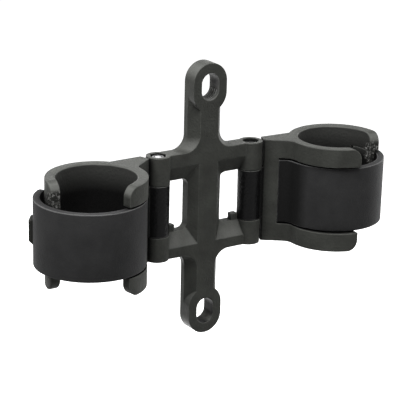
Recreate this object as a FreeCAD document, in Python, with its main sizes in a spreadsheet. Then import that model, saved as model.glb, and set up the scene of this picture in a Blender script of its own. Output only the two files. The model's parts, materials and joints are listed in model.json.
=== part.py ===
import FreeCAD, Part
import math
import os
import re
import Sketcher

# Bottle cage adapter: a spine bracket with two hinged tube clamps, each closed by a rubber strap.
# X runs along the crossbars, Y away from the viewer, Z up along the spine and the tubes, in millimetres.
# The origin is the middle of the cage hole pattern, on the plane through both hinge axes.

V = FreeCAD.Vector
doc = FreeCAD.newDocument("adapter")
sheet = doc.addObject("Spreadsheet::Sheet", "Sizes")

# Driving sizes, lengths in millimetres and angles in degrees
SIZES = [
    ("cage_spacing", 64.0),
    ("slot_width", 5.4),
    ("slot_length", 7.4),
    ("spine_width", 10.5),
    ("spine_overhang", 6.5),
    ("plate_thickness", 4.6),
    ("plate_front", 1.9),
    ("boss_drop", 1.8),
    ("hinge_spacing", 29.8),
    ("barrel_diameter", 6.6),
    ("barrel_height", 29.3),
    ("window_height", 14.6),
    ("window_drop", 0.4),
    ("window_corner", 1.8),
    ("corner_radius", 4.0),
    ("bevel_side", 2.3),
    ("bevel_height", 4.1),
    ("bevel_depth", 2.0),
    ("chamfer_width", 2.4),
    ("chamfer_depth", 2.9),
    ("chamfer_radius", 4.4),
    ("lug_width", 1.9),
    ("lug_height", 1.9),
    ("lug_gap", 0.35),
    ("edge_round", 0.4),
    ("bolt_diameter", 2.5),
    ("bolt_play", 0.05),
    ("head_diameter", 4.3),
    ("head_height", 2.4),
    ("head_sink", 0.9),
    ("key_width", 2.0),
    ("key_depth", 1.3),
    ("nut_width", 3.9),
    ("nut_height", 2.0),
    ("recess_play", 0.1),
    ("hinge_play", 0.15),
    ("clamp_height", 29.3),
    ("tube_diameter", 21.0),
    ("ring_wall", 2.8),
    ("ring_reach", 24.5),
    ("left_front_end", 81.5),
    ("right_front_end", 75.0),
    ("left_back_end", 17.0),
    ("right_back_end", 4.0),
    ("arm_front", 0.1),
    ("arm_slope", 17.0),
    ("arm_back_near", 3.0),
    ("arm_back_far", 6.1),
    ("arm_back_reach", 14.0),
    ("arm_gap", 0.5),
    ("notch_radius", 3.0),
    ("finger_radius", 3.0),
    ("left_heel_flat", 2.15),
    ("right_heel_flat", 0.15),
    ("strap_height", 18.0),
    ("strap_thickness", 1.8),
    ("left_strap_radius", 13.8),
    ("right_strap_radius", 13.2),
    ("left_strap_lay", 20.0),
    ("right_strap_lay", 22.0),
    ("strap_bend", 4.4),
    ("strap_bend_reach", 8.3),
    ("strap_bend_front", 4.9),
    ("strap_root", 0.4),
    ("strap_tail_angle", 92.0),
    ("strap_tail_round", 5.0),
    ("strap_round", 0.5),
    ("strap_side_gap", 0.5),
    ("strap_bed_gap", 0.35),
    ("strap_bed_length", 2.2),
    ("back_window_end", 46.0),
    ("hook_angle", 54.0),
    ("hook_width", 3.2),
    ("hook_height", 6.8),
    ("hook_drop", 0.8),
    ("hook_stand", 1.0),
    ("hook_lip", 1.1),
    ("hook_slope", 1.2),
    ("hook_gap", 0.3),
    ("left_swing", 18.5),
    ("right_swing", 19.5),
]
NAMES = {name for name, value in SIZES}
for row, (name, value) in enumerate(SIZES, 1):
    sheet.set(f"A{row}", name)
    sheet.set(f"B{row}", str(value))
    sheet.setAlias(f"B{row}", name)
doc.recompute()


def sized(text):
    """Point every size name in an expression at the sheet."""
    return re.sub(r"[a-z_]+", lambda m: "Sizes." + m.group(0) if m.group(0) in NAMES else m.group(0), text)


def number(text):
    """Present value of an expression, for the first drawing of a sketch."""
    return float(sheet.evalExpression(sized(text)))


def bind(item, **values):
    for prop, text in values.items():
        item.setExpression(prop.replace("__", "."), sized(text))


def plane(body, role):
    return next(f for f in body.Origin.OriginFeatures if f.Role == role)


def new_body(label):
    body = doc.addObject("PartDesign::Body", label)
    body.Label = label
    return body


def primitive(body, kind, name, x="0", y="0", z="0", turn="0", **sizes):
    """Add a primitive that sits at a point of its body, turned about the vertical."""
    item = body.newObject("PartDesign::" + kind, name)
    item.AttachmentSupport = [(plane(body, "XY_Plane"), "")]
    item.MapMode = "FlatFace"
    item.AttachmentOffset = FreeCAD.Placement(V(0, 0, 0), FreeCAD.Rotation(V(0, 0, 1), 1))
    bind(item, AttachmentOffset__Base__x=x, AttachmentOffset__Base__y=y, AttachmentOffset__Base__z=z)
    bind(item, AttachmentOffset__Rotation__Angle=turn)
    bind(item, **sizes)
    return item


def cylinder(body, name, radius, height, x="0", y="0", z=None, turn="0", sweep="360", cut=False):
    low = z or f"-({height}) / 2"
    kind = "SubtractiveCylinder" if cut else "AdditiveCylinder"
    return primitive(body, kind, name, x, y, low, turn, Radius=radius, Height=height, Angle=sweep)


def box(body, name, x, y, z, length, width, height, turn="0", cut=False):
    kind = "SubtractiveBox" if cut else "AdditiveBox"
    return primitive(body, kind, name, x, y, z, turn, Length=length, Width=width, Height=height)


def hexagon(body, name, across, height, x, z, cut=False):
    kind = "SubtractivePrism" if cut else "AdditivePrism"
    return primitive(body, kind, name, x, "0", z, "0", Circumradius=f"({across}) / sqrt(3)", Height=height)


def wedge(body, name, front, back, y_front, y_back, z="0"):
    """Cut a frustum along Y between a front and a back rectangle, each given as x low, x high, half height."""
    return primitive(
        body, "SubtractiveWedge", name, z=z,
        Xmin=front[0], Xmax=front[1], Zmin=f"-({front[2]})", Zmax=front[2], Ymin=y_front,
        X2min=back[0], X2max=back[1], Z2min=f"-({back[2]})", Z2max=back[2], Ymax=y_back)


def new_sketch(body, name, role, offset="0"):
    sketch = body.newObject("Sketcher::SketchObject", name)
    sketch.AttachmentSupport = [(plane(body, role), "")]
    sketch.MapMode = "FlatFace"
    bind(sketch, AttachmentOffset__Base__z=offset)
    return sketch


def dimension(sketch, kind, places, text):
    """Add one dimension and bind it to its expression."""
    index = sketch.addConstraint(Sketcher.Constraint(kind, *places, number(text)))
    sketch.setExpression(f"Constraints[{index}]", sized(text))


def slot_sketch(body, name, low, high, radius, offset):
    """Upright slot on the XZ plane with its two end centres at given heights."""
    sketch = new_sketch(body, name, "XZ_Plane", offset)
    bottom, top, r = number(low), number(high), number(radius)
    sketch.addGeometry(Part.ArcOfCircle(Part.Circle(V(0, top, 0), V(0, 0, 1), r), 0, math.pi))
    sketch.addGeometry(Part.ArcOfCircle(Part.Circle(V(0, bottom, 0), V(0, 0, 1), r), math.pi, 2 * math.pi))
    sketch.addGeometry(Part.LineSegment(V(r, bottom, 0), V(r, top, 0)))
    sketch.addGeometry(Part.LineSegment(V(-r, top, 0), V(-r, bottom, 0)))
    for first, first_end, second, second_end in ((0, 1, 2, 2), (0, 2, 3, 1), (1, 1, 3, 2), (1, 2, 2, 1)):
        sketch.addConstraint(Sketcher.Constraint("Tangent", first, first_end, second, second_end))
    sketch.addConstraint(Sketcher.Constraint("PointOnObject", 0, 3, -2))
    sketch.addConstraint(Sketcher.Constraint("PointOnObject", 1, 3, -2))
    sketch.addConstraint(Sketcher.Constraint("Equal", 0, 1))
    dimension(sketch, "Radius", (0,), radius)
    dimension(sketch, "DistanceY", (-1, 1, 0, 3), high)
    dimension(sketch, "DistanceY", (-1, 1, 1, 3), low)
    return sketch


def corner_sketch(body, name, hand, level, edge, radius, offset):
    """Clear space beside an arm on the XZ plane, down its edge and round into the crossbar."""
    sketch = new_sketch(body, name, "XZ_Plane", offset)
    inner, r, foot = number(edge), number(radius), number(HALF)
    outer, end = number(SPACE), number("cage_spacing / 2")
    middle_x, middle_z = hand * (inner + r), level * (foot + r)
    corners = [(inner, end), (inner, foot + r), (inner + r, foot), (outer, foot), (outer, end)]
    points = [V(hand * x, level * z, 0) for x, z in corners]
    low = {(1, 1): 180, (-1, 1): 270, (-1, -1): 0, (1, -1): 90}[hand, level]
    arc = Part.ArcOfCircle(Part.Circle(V(middle_x, middle_z, 0), V(0, 0, 1), r), math.radians(low),
                           math.radians(low + 90))
    sketch.addGeometry(Part.LineSegment(points[0], points[1]))
    sketch.addGeometry(arc)
    for first, second in ((2, 3), (3, 4), (4, 0)):
        sketch.addGeometry(Part.LineSegment(points[first], points[second]))
    start, finish = (1, 2) if hand * level > 0 else (2, 1)
    sketch.addConstraint(Sketcher.Constraint("Tangent", 0, 2, 1, start))
    sketch.addConstraint(Sketcher.Constraint("Tangent", 1, finish, 2, 1))
    for index in (2, 3):
        sketch.addConstraint(Sketcher.Constraint("Coincident", index, 2, index + 1, 1))
    sketch.addConstraint(Sketcher.Constraint("Coincident", 4, 2, 0, 1))
    for index, kind in enumerate(("Vertical", None, "Horizontal", "Vertical", "Horizontal")):
        if kind:
            sketch.addConstraint(Sketcher.Constraint(kind, index))
    dimension(sketch, "Radius", (1,), radius)
    dimension(sketch, "DistanceX", (-1, 1, 0, 1), f"{hand} * ({edge})")
    dimension(sketch, "DistanceY", (-1, 1, 0, 1), f"{level} * cage_spacing / 2")
    dimension(sketch, "DistanceX", (-1, 1, 3, 1), f"{hand} * ({SPACE})")
    dimension(sketch, "DistanceY", (-1, 1, 3, 1), f"{level} * {HALF}")
    return sketch


def polygon_sketch(body, name, corners):
    """Closed outline on the XY plane, every corner dimensioned from the origin."""
    sketch = new_sketch(body, name, "XY_Plane")
    points = [V(number(x), number(y), 0) for x, y in corners]
    for index, point in enumerate(points):
        sketch.addGeometry(Part.LineSegment(point, points[(index + 1) % len(points)]))
    for index in range(len(points)):
        sketch.addConstraint(Sketcher.Constraint("Coincident", index, 2, (index + 1) % len(points), 1))
    for index, (x, y) in enumerate(corners):
        dimension(sketch, "DistanceX", (-1, 1, index, 1), x)
        dimension(sketch, "DistanceY", (-1, 1, index, 1), y)
    return sketch


def pad(body, name, sketch, length, both_sides=False):
    item = body.newObject("PartDesign::Pad", name)
    item.Profile = sketch
    item.Midplane = both_sides
    bind(item, Length=length)
    return item


def through(body, name, sketch):
    item = body.newObject("PartDesign::Pocket", name)
    item.Profile = sketch
    item.Type = "ThroughAll"
    return item


def dress(body, kind, name, test, **sizes):
    """Fillet or chamfer the edges of the body that pass a test."""
    doc.recompute()
    base = body.Tip
    chosen = [f"Edge{i}" for i, edge in enumerate(base.Shape.Edges, 1) if test(edge)]
    item = body.newObject("PartDesign::" + kind, name)
    item.Base = (base, chosen)
    bind(item, **sizes)
    return item


def middle(edge):
    return edge.valueAt((edge.FirstParameter + edge.LastParameter) / 2)


def near(value, goal, slack=0.02):
    return abs(value - goal) < slack


# Bracket: spine with two cage eyelets, two crossbars, four hinge knuckles and two stop lugs
bracket = new_body("bracket")
BACK = "plate_front - plate_thickness"
HALF = "barrel_height / 2"
END = "cage_spacing / 2 + spine_overhang - spine_width / 2"
WINDOW = "window_height / 2"
SPACE = "spine_width / 2 + 2 * corner_radius"
FLOOR_Z = f"(-{WINDOW} - window_drop)"
ROOF_Z = f"({WINDOW} - window_drop)"
spine = slot_sketch(bracket, "spine_outline", f"-({END})", END, "spine_width / 2", BACK)
pad(bracket, "spine", spine, "plate_thickness")
box(bracket, "crossbar_plate", "-hinge_spacing / 2", "-plate_front", f"-({HALF})",
    "hinge_spacing", "plate_thickness", "barrel_height")
side, top = number("spine_width / 2"), number(HALF)
dress(bracket, "Fillet", "crossbar_corners",
      lambda e: near(abs(middle(e).x), side) and near(abs(middle(e).z), top), Radius="corner_radius")
for edge, hand in (("left", -1), ("right", 1)):
    for name, level in (("top", 1), ("bottom", -1)):
        front = corner_sketch(bracket, f"{name}_{edge}_front", hand, level, "spine_width / 2 - chamfer_width",
                              "chamfer_radius", "plate_front")
        deep = corner_sketch(bracket, f"{name}_{edge}_deep", hand, level, "spine_width / 2", "corner_radius",
                             "plate_front - chamfer_depth")
        chamfer = bracket.newObject("PartDesign::SubtractiveLoft", f"{name}_{edge}_arm_chamfer")
        chamfer.Profile = front
        chamfer.Sections = [deep]
        chamfer.Ruled = True
for name, hand in (("top", 1), ("bottom", -1)):
    ends = [f"{hand} * (cage_spacing / 2 - boss_drop)", f"{hand} * ({END})"]
    eyelet = slot_sketch(bracket, f"{name}_eyelet_outline", *ends[::hand], "spine_width / 2", BACK)
    pad(bracket, f"{name}_eyelet", eyelet, "plate_thickness")
for edge, hand in (("left", -1), ("right", 1)):
    limits = [f"{hand} * (spine_width / 2 - bevel_side)", f"{hand} * (hinge_spacing / 2 + barrel_diameter)"]
    deep = [f"{hand} * spine_width / 2", f"{hand} * (hinge_spacing / 2 + barrel_diameter)"]
    wedge(bracket, f"{edge}_window_bevel", limits[::hand] + [f"{WINDOW} + bevel_height"],
          deep[::hand] + [WINDOW], "-plate_front", "bevel_depth - plate_front", "-window_drop")
    start = "spine_width / 2" if hand > 0 else "-(hinge_spacing / 2 + barrel_diameter)"
    box(bracket, f"{edge}_window", start, "-plate_front - 1", FLOOR_Z,
        "hinge_spacing / 2 + barrel_diameter - spine_width / 2", "plate_thickness + 2", "window_height", cut=True)
for edge, hand in (("left", -1), ("right", 1)):
    axis = f"{hand} * hinge_spacing / 2"
    for level, low, high in (("upper", ROOF_Z, HALF), ("lower", f"-({HALF})", FLOOR_Z)):
        cylinder(bracket, f"{edge}_{level}_knuckle", "barrel_diameter / 2", f"{high} - ({low})", axis, z=low)
    cylinder(bracket, f"{edge}_pin_bore", "bolt_diameter / 2 + bolt_play", "barrel_height + 2", axis, cut=True)
    head_deep = "(head_sink + head_height)"
    nut_deep = "(head_sink + nut_height)"
    head_low = f"{HALF} - {head_deep}" if hand > 0 else f"-({HALF}) - 1"
    nut_low = f"-({HALF}) - 1" if hand > 0 else f"{HALF} - {nut_deep}"
    cylinder(bracket, f"{edge}_head_recess", "head_diameter / 2 + recess_play", f"{head_deep} + 1", axis,
             z=head_low, cut=True)
    hexagon(bracket, f"{edge}_nut_pocket", "nut_width + 2 * recess_play", f"{nut_deep} + 1", axis, nut_low, cut=True)
    reach = "hinge_spacing / 2 - barrel_diameter / 2 - lug_gap"
    start = f"{reach} - lug_width" if hand > 0 else f"-({reach})"
    box(bracket, f"{edge}_stop_lug", start, "bevel_depth - plate_front", f"{FLOOR_Z} - 1",
        "lug_width", "lug_width", "lug_height + 1")
for name, hand in (("top", 1), ("bottom", -1)):
    shift = "(slot_length - slot_width) / 2"
    ends = [f"{hand} * (cage_spacing / 2) - {shift}", f"{hand} * (cage_spacing / 2) + {shift}"]
    through(bracket, f"{name}_cage_slot", slot_sketch(bracket, f"{name}_slot_outline", *ends, "slot_width / 2",
                                                      "plate_front"))
sills = (number(FLOOR_Z), number(ROOF_Z))
dress(bracket, "Fillet", "window_corners",
      lambda e: near(abs(middle(e).x), side) and any(near(middle(e).z, sill) for sill in sills),
      Radius="window_corner")


# Places shared by the clamps and the straps, in the frame of one clamp with its hinge axis as origin
RING = "tube_diameter / 2 + ring_wall"
BEND_Y = "(-strap_bend_front)"
FLOOR = f"({BEND_Y} + strap_bend + strap_thickness / 2)"
BAND = {}
for hand, name in ((-1, "left"), (1, "right")):
    reach = f"({name}_strap_radius + strap_bend)"
    BAND[hand] = {
        "radius": f"{name}_strap_radius",
        "lay": f"{name}_strap_lay",
        "inner": f"({name}_strap_radius - strap_thickness / 2)",
        "outer": f"({name}_strap_radius + strap_thickness / 2)",
        "x": f"(strap_bend_reach + {reach} * cos({name}_strap_lay))",
        "y": f"({reach} * sin({name}_strap_lay) - strap_bend_front)",
    }
BAND_OUT = (f"({BAND[-1]['outer']} + ({BAND[-1]['x']} - ring_reach) * cos(hook_angle)"
            f" + {BAND[-1]['y']} * sin(hook_angle))")
ARM_START = "(barrel_diameter / 2 + arm_gap)"
KNUCKLE = "(window_height - 2 * hinge_play)"
SLOT = "(strap_height + 2 * strap_side_gap)"


def swing(body, hand):
    """Set a body on its hinge axis, swung forward."""
    angle = "left_swing" if hand < 0 else "-right_swing"
    body.Placement = FreeCAD.Placement(V(0, 0, 0), FreeCAD.Rotation(V(0, 0, 1), 1))
    bind(body, Placement__Base__x=f"{hand} * hinge_spacing / 2", Placement__Rotation__Angle=angle)


def span(hand, low, high):
    """Start of a run along X and its length, mirrored for the left hand."""
    return (low if hand > 0 else f"-({high})"), f"({high}) - ({low})"


def sector(hand, low, high):
    """Start and sweep of an arc about the vertical, mirrored for the left hand."""
    return (low if hand > 0 else f"180 - ({high})"), f"({high}) - ({low})"


def radial_box(body, name, hand, inner, outer, low, high, height, cut=False):
    """Box standing out from the ring at the hook, between two offsets measured away from the opening."""
    first, length = (low if hand > 0 else f"-({high})"), f"({high}) - ({low})"
    x = f"{hand} * (ring_reach + ({inner}) * cos(hook_angle)) - ({first}) * sin(hook_angle)"
    y = f"({inner}) * sin(hook_angle) + {hand} * ({first}) * cos(hook_angle)"
    turn = "hook_angle" if hand > 0 else "180 - hook_angle"
    box(body, name, x, y, f"-({height}) / 2 - hook_drop", f"({outer}) - ({inner})", length, height, turn, cut)


def make_clamp(label, hand):
    body = new_body(label)
    swing(body, hand)
    centre = f"{hand} * ring_reach"
    side_name = "left" if hand < 0 else "right"
    back_end, front_end = f"{side_name}_back_end", f"{side_name}_front_end"
    turn, sweep = sector(hand, back_end, f"360 - {front_end}")
    cylinder(body, "ring", RING, "clamp_height", centre, turn=turn, sweep=sweep)
    inside = "(ring_reach - tube_diameter / 3)"
    outline = [(ARM_START, "-arm_front"), (inside, f"-arm_front - ({inside} - {ARM_START}) * tan(arm_slope)"),
               (inside, "arm_back_far"), ("arm_back_reach", "arm_back_far"), (ARM_START, "arm_back_near")]
    pad(body, "arm", polygon_sketch(body, "arm_outline", [(f"{hand} * ({x})", y) for x, y in outline]),
        "clamp_height", both_sides=True)
    cylinder(body, "tube_seat", "tube_diameter / 2", "clamp_height + 2", centre, cut=True)
    radius, slope = number(RING), math.tan(math.radians(number("arm_slope")))
    front, behind = number("arm_front"), number(f"ring_reach - {ARM_START}")
    half = (behind - front * slope) / (1 + slope ** 2)
    along = half - math.sqrt(half ** 2 - (behind ** 2 + front ** 2 - radius ** 2) / (1 + slope ** 2))
    notch_x, notch_y = number(ARM_START) + along, -front - along * slope
    dress(body, "Fillet", "notch",
          lambda e: near(abs(middle(e).x), notch_x, 0.1) and near(middle(e).y, notch_y, 0.1), Radius="notch_radius")
    neck, neck_length = span(hand, "0", f"{ARM_START} + 1")
    low = f"-{KNUCKLE} / 2 - window_drop"
    box(body, "neck", neck, "-arm_front", low, neck_length, "arm_front + arm_back_near", KNUCKLE)
    cylinder(body, "knuckle", "barrel_diameter / 2", KNUCKLE, z=low)
    cylinder(body, "pin_bore", "bolt_diameter / 2 + bolt_play", "clamp_height", cut=True)
    outside = "(strap_bend + strap_thickness / 2)"
    turn_x = f"strap_bend_reach + {outside} * cos({BAND[hand]['lay']}) + 0.2"
    turn_y = f"{outside} * sin({BAND[hand]['lay']}) - strap_bend_front + 0.2"
    start, length = span(hand, "strap_bend_reach - strap_root", turn_x)
    box(body, "root_pocket", start, f"{FLOOR} - 8", f"-{SLOT} / 2", length, "8", SLOT, cut=True)
    lay = BAND[hand]["lay"]
    depth = f"({outside} + strap_bed_gap)"
    out = "0" if hand > 0 else depth
    box(body, "strap_bed", f"{hand} * (strap_bend_reach + {out} * cos({lay}) + strap_bed_length * sin({lay}))",
        f"{out} * sin({lay}) - strap_bend_front - strap_bed_length * cos({lay})", f"-{SLOT} / 2",
        depth, "strap_bed_length", SLOT, f"{hand} * {lay}", cut=True)
    start, length = span(hand, "strap_bend_reach - strap_root", "ring_reach * 2")
    box(body, "strap_window", start, f"{turn_y} - strap_bed_length * cos({lay}) - ring_reach", f"-{SLOT} / 2",
        length, "ring_reach", SLOT, cut=True)
    turn, sweep = sector(hand, f"{back_end} - 8", "back_window_end")
    cylinder(body, "back_window", f"{RING} + 4", SLOT, centre, turn=turn, sweep=sweep, cut=True)
    top = f"{BAND_OUT} + hook_stand"
    radial_box(body, "hook_post", hand, f"{RING} - 1", top, "-hook_width / 2", "hook_width / 2", "hook_height")
    radial_box(body, "hook_lip", hand, f"{BAND_OUT} + hook_gap", top, "0", "hook_width / 2 + hook_lip",
               "hook_height")
    toe = number("hook_height / 2 + hook_drop")
    lean = math.radians(number("hook_angle"))
    outer = number(top)
    dress(body, "Chamfer", "hook_toe",
          lambda e: near(middle(e).z, -toe) and e.Length < 6 and near(
              (abs(middle(e).x) - number("ring_reach")) * math.cos(lean) + middle(e).y * math.sin(lean), outer),
          Size="hook_slope")
    ends = [math.radians(number(back_end)), -math.radians(number(front_end))]
    mid = radius - number("ring_wall") / 2
    tips = [(number("ring_reach") + mid * math.cos(a), mid * math.sin(a)) for a in ends]
    rim = number("clamp_height") / 2
    at_tip = lambda e, tip: near(abs(middle(e).x), tip[0]) and near(middle(e).y, tip[1])
    heel = lambda e: near(middle(e).z, -rim) and at_tip(e, tips[0])
    dress(body, "Fillet", "finger_corners",
          lambda e: near(abs(middle(e).z), rim) and any(at_tip(e, tip) for tip in tips) and not heel(e),
          Radius="finger_radius")
    dress(body, "Fillet", "heel_corner", heel, Radius=f"(clamp_height - {SLOT}) / 2 - {side_name}_heel_flat")
    dress(body, "Fillet", "rims",
          lambda e: near(abs(middle(e).z), rim) and e.Length > number("tube_diameter"), Radius="edge_round")
    return body


def make_strap(label, hand):
    body = new_body(label)
    swing(body, hand)
    band = BAND[hand]
    bend, centre = f"{hand} * strap_bend_reach", f"{hand} * {band['x']}"
    turn, sweep = sector(hand, band["lay"], "90")
    cylinder(body, "bend", "strap_bend + strap_thickness / 2", "strap_height", bend, BEND_Y, turn=turn, sweep=sweep)
    cylinder(body, "bend_hollow", "strap_bend - strap_thickness / 2", "strap_height + 2", bend, BEND_Y, cut=True)
    turn, sweep = sector(hand, f"{band['lay']} - 180", "strap_tail_angle")
    cylinder(body, "band", band["outer"], "strap_height", centre, band["y"], turn=turn, sweep=sweep)
    cylinder(body, "band_hollow", band["inner"], "strap_height + 2", centre, band["y"], cut=True)
    start, length = span(hand, "strap_bend_reach - strap_root", "strap_bend_reach")
    box(body, "root", start, f"{FLOOR} - strap_thickness", "-strap_height / 2", length, "strap_thickness",
        "strap_height")
    radial_box(body, "hook_hole", hand, RING, f"{BAND_OUT} + strap_thickness",
               "-hook_width / 2 - hook_gap", "hook_width / 2 + hook_gap", "hook_height + 2 * hook_gap", cut=True)
    angle = math.radians(number("strap_tail_angle"))
    tail_x = number(band["x"]) + number(band["radius"]) * math.cos(angle)
    tail_y = number(band["y"]) + number(band["radius"]) * math.sin(angle)
    rim = number("strap_height") / 2
    dress(body, "Fillet", "tail_corners",
          lambda e: near(abs(middle(e).z), rim) and near(abs(middle(e).x), tail_x) and near(middle(e).y, tail_y),
          Radius="strap_tail_round")
    hole = number("hook_height / 2 + hook_drop") + 1
    start = number("strap_bend_reach - strap_root")
    dress(body, "Fillet", "band_edges",
          lambda e: abs(middle(e).z) > hole and e.Length > number("strap_thickness") * 1.1
          and not near(abs(middle(e).x), start), Radius="strap_round")
    return body


def make_bolt(label, hand):
    body = new_body(label)
    axis = f"{hand} * hinge_spacing / 2"
    end = f"({HALF} - head_sink)"
    low = f"{end} - head_height" if hand > 0 else f"-{end}"
    cylinder(body, "head", "head_diameter / 2", "head_height", axis, z=low)
    cylinder(body, "shank", "bolt_diameter / 2", f"2 * {end} - head_height / 2", axis,
             z=f"-{end}" if hand > 0 else f"-{end} + head_height / 2")
    hexagon(body, "key_socket", "key_width", "key_depth + 1", axis,
            f"{end} - key_depth" if hand > 0 else f"-{end} - 1", cut=True)
    return body


def make_nut(label, hand):
    body = new_body(label)
    axis = f"{hand} * hinge_spacing / 2"
    end = f"({HALF} - head_sink)"
    hexagon(body, "hexagon", "nut_width", "nut_height", axis, f"-{end}" if hand > 0 else f"{end} - nut_height")
    cylinder(body, "thread", "bolt_diameter / 2 + bolt_play", "barrel_height * 2", axis, cut=True)
    return body


bodies = [bracket]
for prefix, hand in (("left", -1), ("right", 1)):
    for kind, make in (("clamp", make_clamp), ("strap", make_strap), ("hinge_bolt", make_bolt),
                       ("hinge_nut", make_nut)):
        bodies.append(make(f"{prefix}_{kind}", hand))
doc.recompute()

# Every object must be sound before its file is written
for item in doc.Objects:
    if "Invalid" in item.State or "Error" in item.State:
        raise RuntimeError(f"{item.Name} did not build: {item.State}")
os.makedirs("parts", exist_ok=True)
for body in bodies:
    shape = body.Shape
    if shape.isNull() or not shape.isValid() or len(shape.Solids) != 1:
        raise RuntimeError(f"{body.Label} is not one sound solid")
    shape.exportStep(f"parts/{body.Label}.step")
    print(body.Label, round(shape.Volume, 1), shape.BoundBox)
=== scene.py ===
# %% [markdown]
# # Bottle cage adapter
# A spine bracket carries a bottle cage. Two clamps hinge on its sides, and a wide rubber strap closes
# each of them round a tube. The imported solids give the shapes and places, and this lesson adds the
# rubber straps, the small moulded details, the finishes, the light and the camera.

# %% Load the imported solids
import json
import math

import bpy
from mathutils import Matrix, Vector


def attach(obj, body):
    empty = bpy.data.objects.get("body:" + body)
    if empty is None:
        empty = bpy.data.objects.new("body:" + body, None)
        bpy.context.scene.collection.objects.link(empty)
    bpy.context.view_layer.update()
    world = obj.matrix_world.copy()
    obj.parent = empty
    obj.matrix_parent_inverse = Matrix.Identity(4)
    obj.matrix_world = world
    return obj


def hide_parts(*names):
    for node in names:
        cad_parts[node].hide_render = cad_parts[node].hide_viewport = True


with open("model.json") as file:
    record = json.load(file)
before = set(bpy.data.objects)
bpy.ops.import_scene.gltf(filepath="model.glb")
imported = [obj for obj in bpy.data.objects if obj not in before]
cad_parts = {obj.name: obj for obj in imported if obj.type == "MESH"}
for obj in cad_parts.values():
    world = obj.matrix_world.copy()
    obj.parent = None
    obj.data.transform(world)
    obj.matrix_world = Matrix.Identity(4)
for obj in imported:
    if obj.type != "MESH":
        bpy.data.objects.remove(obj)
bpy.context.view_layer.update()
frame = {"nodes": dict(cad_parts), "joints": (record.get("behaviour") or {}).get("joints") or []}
nodes = frame["nodes"]
MM = 0.001
print("nodes:", sorted(nodes))

# %% [markdown]
# ## Camera
# The picture was taken from the left front and a little above, with a long lens. A camera can be aimed
# with a constraint, but here its three directions are worked out from a heading, a tilt and a slight
# roll, so that each of them can be read and corrected by itself.

# %% Place the camera
HEADING, TILT, ROLL = (math.radians(angle) for angle in (33.371, 18.432, 1.402))
DISTANCE = 469.016 * MM
SIDE_OFFSET, RISE_OFFSET = 1.040 * MM, 0.233 * MM
FRAME_PIXELS, FOCAL_PIXELS, SENSOR = 400, 1719.93, 36.0

view = Vector((math.sin(HEADING) * math.cos(TILT), math.cos(HEADING) * math.cos(TILT), -math.sin(TILT)))
level = Vector((math.cos(HEADING), -math.sin(HEADING), 0.0))
upright = level.cross(view)
right = level * math.cos(ROLL) + upright * math.sin(ROLL)
up = upright * math.cos(ROLL) - level * math.sin(ROLL)
place = -(right * SIDE_OFFSET + up * RISE_OFFSET + view * DISTANCE)

lens = bpy.data.cameras.new("photo_camera")
lens.sensor_width = SENSOR
lens.lens = SENSOR * FOCAL_PIXELS / FRAME_PIXELS
camera = bpy.data.objects.new("photo_camera", lens)
bpy.context.collection.objects.link(camera)
turn = Matrix((right, up, -view)).transposed()
camera.matrix_world = Matrix.Translation(place) @ turn.to_4x4()
bpy.context.scene.camera = camera
print("camera at", [round(value, 4) for value in place], "lens", round(lens.lens, 1))

# %% [markdown]
# ## Floor, surroundings and lamps
# The picture has a white sweep with no edge in it, and dark plastic that is lit from above: every face
# that looks up is pale, and every upright face is nearly black. So wide soft lamps hang overhead, weaker
# ones stand round the sides, and the floor and the surroundings are white only to the camera and in
# reflections. The floor is a large sheet well below the part, which keeps the part's shadow out of view.

# %% Make the floor
FLOOR_DEPTH, FLOOR_SIZE = 0.30, 8.0
bpy.ops.object.select_all(action="DESELECT")
bpy.ops.mesh.primitive_plane_add(size=FLOOR_SIZE, location=(0.0, 0.0, 0.0))
floor = bpy.context.object
floor.name = "floor"
bpy.ops.object.mode_set(mode="EDIT")
bpy.ops.transform.translate(value=(0.0, 0.0, -FLOOR_DEPTH))
bpy.ops.object.mode_set(mode="OBJECT")
print("floor", FLOOR_SIZE, "m across,", FLOOR_DEPTH, "m below the middle of the part")

# %% [markdown]
# A material is a graph of nodes. It can be drawn by hand in the shader editor, but three small functions
# that feed a socket, add a node and do a sum let each finish below be read as a list of its steps.


# %% Write the node helpers
def feed(tree, source, target):
    """Feed a socket from another one, or set it to a plain value."""
    if isinstance(source, bpy.types.NodeSocket):
        tree.links.new(source, target)
    else:
        target.default_value = source


def add_node(tree, kind, **values):
    """Add a node, set its named properties and feed its named sockets."""
    node = tree.nodes.new(kind)
    for name, value in values.items():
        if name in node.inputs:
            feed(tree, value, node.inputs[name])
        else:
            setattr(node, name, value)
    return node


def add_math(tree, operation, *operands, clamp=False):
    """Add a math node; each operand is a socket or a number."""
    node = add_node(tree, "ShaderNodeMath", operation=operation, use_clamp=clamp)
    for operand, target in zip(operands, node.inputs):
        feed(tree, operand, target)
    return node.outputs[0]


print("helpers: feed, add_node, add_math")


# %% Paint the floor
def choose_white(tree, other, white, out):
    """Show white to the camera, straight, mirrored or through glass, and light the part by the other."""
    path = add_node(tree, "ShaderNodeLightPath").outputs
    seen = add_math(tree, "MAXIMUM", path["Is Camera Ray"], path["Is Glossy Ray"])
    seen = add_math(tree, "MAXIMUM", seen, path["Is Transmission Ray"])
    choose = add_node(tree, "ShaderNodeMixShader")
    for source, target in zip((seen, other, white), choose.inputs):
        feed(tree, source, target)
    feed(tree, choose.outputs[0], out.inputs[0])


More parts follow.
